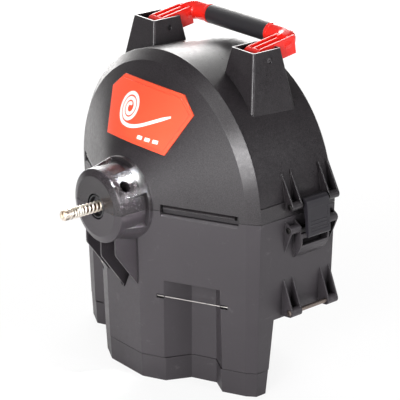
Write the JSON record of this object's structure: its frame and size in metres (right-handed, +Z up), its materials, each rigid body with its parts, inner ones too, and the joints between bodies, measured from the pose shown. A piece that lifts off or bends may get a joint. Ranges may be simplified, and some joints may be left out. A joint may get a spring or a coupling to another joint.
{
  "type": "drain snake machine",
  "caption": "Enclosed drum drain cleaner: faceted plastic housing on feet, split nose collar with spring cable, folding carry handle, side latches and a spinning cable drum.",
  "frame": {"origin": "on the floor, on the mirror plane, under the rear foot just behind the front foot", "axes": "+Z up, -Y the side the cable leaves from, +X the object's left seen from behind the machine"},
  "size_m": [0.4338, 0.336, 0.4832],
  "materials": {
    "lid_plastic": "fine grain moulded",
    "base_plastic": "smooth matt moulded",
    "foot_plastic": "matt moulded",
    "badge": "satin",
    "handle_red": "gloss",
    "grip_rubber": "satin",
    "latch_plastic": "matt moulded",
    "steel_rod": "brushed",
    "screw_steel": "zinc plated",
    "cable_nickel": "bright nickel",
    "cable_core": "oiled",
    "bronze": "sintered bronze",
    "bearing_steel": "ground",
    "drum_plastic": "satin",
    "drum_alloy": "machined",
    "seal": "matt"
  },
  "bodies": {
    "base": {"base_shell": "base_plastic", "front_foot": "foot_plastic", "rear_foot": "foot_plastic", "foot_screws": "screw_steel", "front_tie_rods": "steel_rod", "latch_catch_rods": "steel_rod", "docking_rods": "steel_rod", "split_line_seal": "seal", "nose_bushing": "bronze", "rear_bearing_outer": "bearing_steel", "rear_bearing_balls": "bearing_steel"},
    "lid": {"lid_shell": "lid_plastic", "latch_hinge_rods": "steel_rod", "badge_plate": "badge", "handle_pivot_pins": "steel_rod"},
    "latch_l": {"latch_left": "latch_plastic"},
    "latch_r": {"latch_right": "latch_plastic"},
    "handle": {"handle_frame": "handle_red", "handle_grip": "grip_rubber"},
    "drum": {"rear_bearing_inner": "bearing_steel", "drum_front_cover": "drum_plastic", "drum_pan": "drum_plastic", "drum_nose": "drum_alloy", "cable_lock_screw": "screw_steel", "drum_hub": "drum_alloy", "drive_coupling": "drum_alloy", "drum_screws": "screw_steel", "cable_coil": "cable_nickel", "cable_guide_tube": "drum_alloy"},
    "cable": {"cable_spring": "cable_nickel", "cable_core": "cable_core", "cable_tip": "cable_nickel"}
  },
  "joints": [
    {"name": "lid_lift", "type": "slide", "parent": "base", "child": "lid", "axis": [0, 0, 1], "range_m": [0, 0.24]},
    {"name": "latch_right_hinge", "type": "hinge", "parent": "lid", "child": "latch_r", "pos_m": [0.2026, 0.05425, 0.275], "axis": [0, -1, 0], "range_deg": [0, 100]},
    {"name": "latch_left_hinge", "type": "hinge", "parent": "lid", "child": "latch_l", "pos_m": [-0.2026, 0.05425, 0.275], "axis": [0, 1, 0], "range_deg": [0, 100]},
    {"name": "handle_fold", "type": "hinge", "parent": "lid", "child": "handle", "pos_m": [0, 0.0376, 0.4558], "axis": [1, 0, 0], "range_deg": [0, 79]},
    {"name": "drum_spin", "type": "hinge", "parent": "base", "child": "drum", "pos_m": [0, -0.11, 0.258], "axis": [0, 1, 0], "continuous": true},
    {"name": "cable_feed", "type": "slide", "parent": "drum", "child": "cable", "axis": [0, -1, 0], "range_m": [0, 0.04]}
  ]
}
